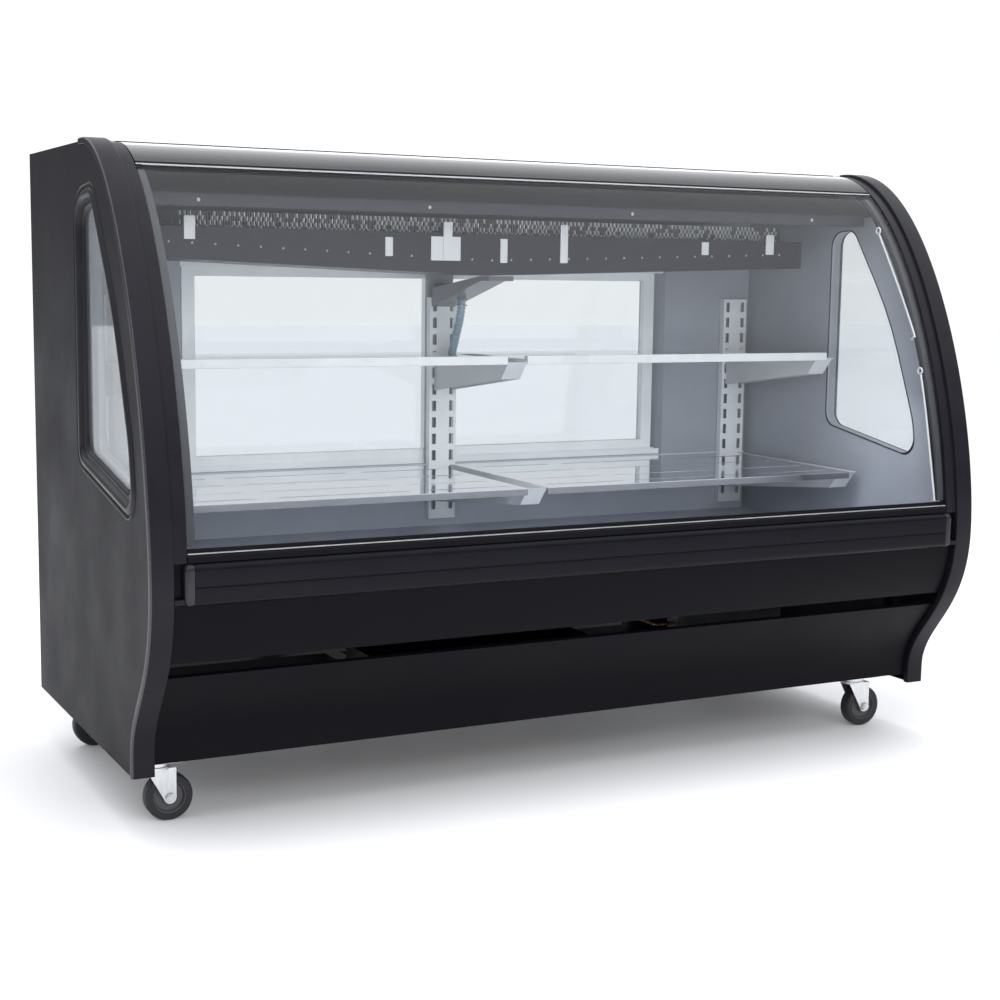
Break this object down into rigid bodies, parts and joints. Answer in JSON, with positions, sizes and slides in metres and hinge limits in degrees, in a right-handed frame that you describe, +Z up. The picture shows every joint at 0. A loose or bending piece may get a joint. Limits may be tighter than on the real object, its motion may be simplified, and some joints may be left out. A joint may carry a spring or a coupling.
{
  "type": "refrigerated deli case",
  "caption": "Serve-over refrigerated deli case: curved lift-up front glass, windowed insulated ends, glass shelf over a slotted deck, sliding rear doors, swivel castors.",
  "frame": {"origin": "floor level at the centre of the footprint", "axes": "+X along the width to the customer's right, +Y towards the rear sliding doors, +Z up; the customer side faces -Y"},
  "size_m": [2, 0.983, 1.385],
  "materials": {
    "frame_paint": "satin",
    "end_paint": "satin",
    "trim_black": "semi gloss",
    "front_panel_paint": "satin",
    "foam": "matte",
    "liner_grey": "satin",
    "stainless": "brushed",
    "shell_black": "matte",
    "gasket_rubber": "matte",
    "clear_glass": "clear",
    "track_aluminium": "anodised",
    "roof_white": "satin",
    "canopy_grey": "satin",
    "hinge_chrome": "polished",
    "sill_rubber": "matte",
    "shelf_metal": "satin",
    "coil_aluminium": "plain",
    "copper": "plain",
    "pan_grey": "satin",
    "hose_grey": "ribbed",
    "rod_white": "satin",
    "unit_black": "satin",
    "zinc": "zinc plated",
    "castor_rubber": "matte",
    "plastic_black": "matte",
    "plastic_grey": "matte",
    "switch_red": "glossy",
    "fan_grey": "matte",
    "door_aluminium": "anodised"
  },
  "bodies": {
    "case": {"base_frame": "frame_paint", "castor_plates": "zinc", "left_end_skin": "end_paint", "right_end_skin": "end_paint", "foam_insulation": "foam", "end_liners": "liner_grey", "left_trim": "trim_black", "right_trim": "trim_black", "window_gaskets": "gasket_rubber", "window_panes": "clear_glass", "tub_liner": "liner_grey", "tub_shell": "shell_black", "rear_frame": "liner_grey", "door_tracks": "track_aluminium", "roof_panel": "roof_white", "canopy": "canopy_grey", "hinge_profile": "hinge_chrome", "glass_sill": "sill_rubber", "bumper_rail": "trim_black", "bumper_caps": "trim_black", "upper_front_panel": "front_panel_paint", "lower_front_panel": "front_panel_paint", "shelf_uprights": "shelf_metal", "shelf_brackets": "shelf_metal", "shelf_panes": "clear_glass", "shelf_strips": "track_aluminium", "deck_panels": "stainless", "coil_fins": "coil_aluminium", "coil_tubes": "copper", "coil_hangers": "rod_white", "drip_pan": "pan_grey", "drain_trough": "liner_grey", "drain_hose": "hose_grey", "lamp_housing": "canopy_grey", "glass_stay_rods": "rod_white", "compressor": "unit_black", "condenser": "coil_aluminium", "fan_motor": "unit_black", "refrigerant_lines": "copper", "drain_tray": "shell_black", "control_box": "plastic_grey", "service_grille": "end_paint", "fasteners": "zinc"},
    "front_glass": {"front_glass": "clear_glass", "glass_clamp": "hinge_chrome"},
    "door_left": {"door_left_frame": "door_aluminium", "door_left_panes": "clear_glass"},
    "door_right": {"door_right_frame": "door_aluminium", "door_right_panes": "clear_glass"},
    "fan": {"fan_blade": "fan_grey"},
    "knob": {"thermostat_knob": "plastic_black"},
    "rocker": {"light_switch": "switch_red"},
    "fork_front_left": {"castor_fork_front_left": "zinc"},
    "wheel_front_left": {"castor_wheel_front_left": "castor_rubber"},
    "fork_front_right": {"castor_fork_front_right": "zinc"},
    "wheel_front_right": {"castor_wheel_front_right": "castor_rubber"},
    "fork_rear_left": {"castor_fork_rear_left": "zinc"},
    "wheel_rear_left": {"castor_wheel_rear_left": "castor_rubber"},
    "fork_rear_right": {"castor_fork_rear_right": "zinc"},
    "wheel_rear_right": {"castor_wheel_rear_right": "castor_rubber"}
  },
  "joints": [
    {"name": "glass_lift", "type": "hinge", "parent": "case", "child": "front_glass", "pos_m": [0, -0.012, 1.37], "axis": [-1, 0, 0], "range_deg": [0, 60]},
    {"name": "door_left_slide", "type": "slide", "parent": "case", "child": "door_left", "axis": [1, 0, 0], "range_m": [0, 0.64]},
    {"name": "door_right_slide", "type": "slide", "parent": "case", "child": "door_right", "axis": [-1, 0, 0], "range_m": [0, 0.64]},
    {"name": "fan_spin", "type": "hinge", "parent": "case", "child": "fan", "pos_m": [0.5, -0.12, 0.285], "axis": [0, 1, 0], "continuous": true},
    {"name": "thermostat_turn", "type": "hinge", "parent": "case", "child": "knob", "pos_m": [0.82, 0.4743, 0.37], "axis": [0, 1, 0], "range_deg": [0, 270]},
    {"name": "switch_rock", "type": "hinge", "parent": "case", "child": "rocker", "pos_m": [0.735, 0.472, 0.37], "axis": [1, 0, 0], "range_deg": [0, 16]},
    {"name": "castor_swivel_front_left", "type": "hinge", "parent": "case", "child": "fork_front_left", "pos_m": [-0.922, -0.226, 0.114], "axis": [0, 0, 1], "continuous": true},
    {"name": "castor_roll_front_left", "type": "hinge", "parent": "fork_front_left", "child": "wheel_front_left", "pos_m": [-0.897, -0.226, 0.05], "axis": [0, 1, 0], "continuous": true},
    {"name": "castor_swivel_front_right", "type": "hinge", "parent": "case", "child": "fork_front_right", "pos_m": [0.872, -0.226, 0.114], "axis": [0, 0, 1], "continuous": true},
    {"name": "castor_roll_front_right", "type": "hinge", "parent": "fork_front_right", "child": "wheel_front_right", "pos_m": [0.897, -0.226, 0.05], "axis": [0, 1, 0], "continuous": true},
    {"name": "castor_swivel_rear_left", "type": "hinge", "parent": "case", "child": "fork_rear_left", "pos_m": [-0.922, 0.385, 0.114], "axis": [0, 0, 1], "continuous": true},
    {"name": "castor_roll_rear_left", "type": "hinge", "parent": "fork_rear_left", "child": "wheel_rear_left", "pos_m": [-0.897, 0.385, 0.05], "axis": [0, 1, 0], "continuous": true},
    {"name": "castor_swivel_rear_right", "type": "hinge", "parent": "case", "child": "fork_rear_right", "pos_m": [0.872, 0.385, 0.114], "axis": [0, 0, 1], "continuous": true},
    {"name": "castor_roll_rear_right", "type": "hinge", "parent": "fork_rear_right", "child": "wheel_rear_right", "pos_m": [0.897, 0.385, 0.05], "axis": [0, 1, 0], "continuous": true}
  ]
}
